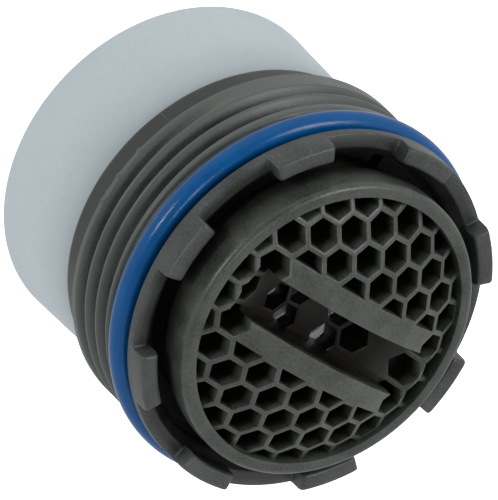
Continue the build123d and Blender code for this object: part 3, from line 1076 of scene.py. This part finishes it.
floor_finish, floor_tree, floor_shader = material(
    "pale_floor", (0.9, 0.9, 0.9), roughness=0.8, specular=0.2
)
floor_noise = noise(floor_tree, object_coords(floor_tree), scale=60, detail=2.0)
floor_tone = ramp(floor_tree, floor_noise, zip(NOISE_RANGE, FLOOR_TONES))
floor_tree.links.new(floor_tone, floor_shader.inputs["Base Color"])
floor_shader.inputs["Emission Color"].default_value = (1, 1, 1, 1)
floor_shader.inputs["Emission Strength"].default_value = FLOOR_GLOW
floor_corners = [(-1, -1), (1, -1), (1, 1), (-1, 1)]
floor_mesh = bpy.data.meshes.new("floor")
floor_mesh.from_pydata(
    [(x * FLOOR_HALF, y * FLOOR_HALF, 0) for x, y in floor_corners], [], [(0, 1, 2, 3)]
)
floor_mesh.materials.append(floor_finish)
floor = bpy.data.objects.new("floor", floor_mesh)
bpy.context.scene.collection.objects.link(floor)
# The floor neither lights the object nor shows in its gloss
floor.visible_diffuse = False
floor.visible_glossy = False


# Camera at the viewing angle of the photograph

# Tilt of the axis from the view, its roll in the image and the turn of the slot
TILT = math.radians(42.92)
ROLL = math.radians(44.73)
SLOT_TURN = math.radians(102.5)
# Unit of length of the fit, and what was fitted in it: distance, image scale and place of the rim
UNIT = NOZZLE_R * MM
DISTANCE = 82.6
PIXELS_PER_UNIT = 166.51
RIM_RIGHT = 0.4856
RIM_DOWN = 0.4897
IMAGE_SIZE = 500
SENSOR = 36

axis_dir = Vector(
    (math.sin(TILT) * math.cos(ROLL), -math.sin(TILT) * math.sin(ROLL), math.cos(TILT))
)
side_dir = Vector((-math.sin(ROLL), -math.cos(ROLL), 0))
lean_dir = Vector(
    (math.cos(ROLL) * math.cos(TILT), -math.sin(ROLL) * math.cos(TILT), -math.sin(TILT))
)
x_dir = math.cos(SLOT_TURN) * side_dir + math.sin(SLOT_TURN) * lean_dir
y_dir = -math.sin(SLOT_TURN) * side_dir + math.cos(SLOT_TURN) * lean_dir
# Turns a direction of right, up and towards the camera into the object's frame
to_world = Matrix((x_dir, y_dir, axis_dir))

camera_data = bpy.data.cameras.new("camera")
camera_data.sensor_width = SENSOR
camera_data.lens = SENSOR * PIXELS_PER_UNIT * DISTANCE / IMAGE_SIZE
camera_data.clip_start = 0.01
camera_data.clip_end = 20
camera = bpy.data.objects.new("camera", camera_data)
rim_centre = Vector((0, 0, RIM_Z * MM))
rim_seen = Vector((RIM_RIGHT * UNIT, -RIM_DOWN * UNIT, -DISTANCE * UNIT))
camera_place = rim_centre - to_world @ rim_seen
camera.matrix_world = Matrix.Translation(camera_place) @ to_world.to_4x4()
bpy.context.scene.collection.objects.link(camera)
bpy.context.scene.camera = camera


# Light

LIGHT_AIM = Vector((0, 0, 0.009))
LIGHT_DISTANCE = 0.6


def softbox(name, direction, width, height, power):
    """Soft rectangular light in a direction of right, up and towards the camera."""
    data = bpy.data.lights.new(name, "AREA")
    data.shape = "RECTANGLE"
    data.size = width
    data.size_y = height
    data.energy = power
    lamp = bpy.data.objects.new(name, data)
    lamp.location = LIGHT_AIM + (to_world @ Vector(direction).normalized()) * LIGHT_DISTANCE
    lamp.rotation_euler = (LIGHT_AIM - lamp.location).to_track_quat("-Z", "Y").to_euler()
    bpy.context.scene.collection.objects.link(lamp)


softbox("left_box", (-0.62, 0.19, 0.77), width=0.12, height=0.09, power=0.9)
softbox("right_box", (0.79, 0.17, 0.59), width=0.26, height=0.18, power=1.22)
softbox("front_box", (0.3, -0.3, 0.9), width=0.1, height=0.1, power=0.42)

# Pale surroundings that are dimmer on the side the photograph was taken from
DIM_RANGE = (0.4, 0.95)
SURROUND_STRENGTHS = (0.8, 0.2)

world = bpy.data.worlds.new("studio")
world.use_nodes = True
world_tree = world.node_tree
background = world_tree.nodes["Background"]
background.inputs["Color"].default_value = (1.0, 1.0, 1.0, 1.0)
direction = world_tree.nodes.new("ShaderNodeTexCoord").outputs["Generated"]
facing = world_tree.nodes.new("ShaderNodeVectorMath")
facing.operation = "DOT_PRODUCT"
facing.inputs[1].default_value = to_world @ Vector((0, 0, 1))
world_tree.links.new(direction, facing.inputs[0])
strength = map_range(world_tree, facing.outputs["Value"], DIM_RANGE, SURROUND_STRENGTHS)
world_tree.links.new(strength, background.inputs["Strength"])
bpy.context.scene.world = world
bpy.context.scene.view_settings.view_transform = "Standard"
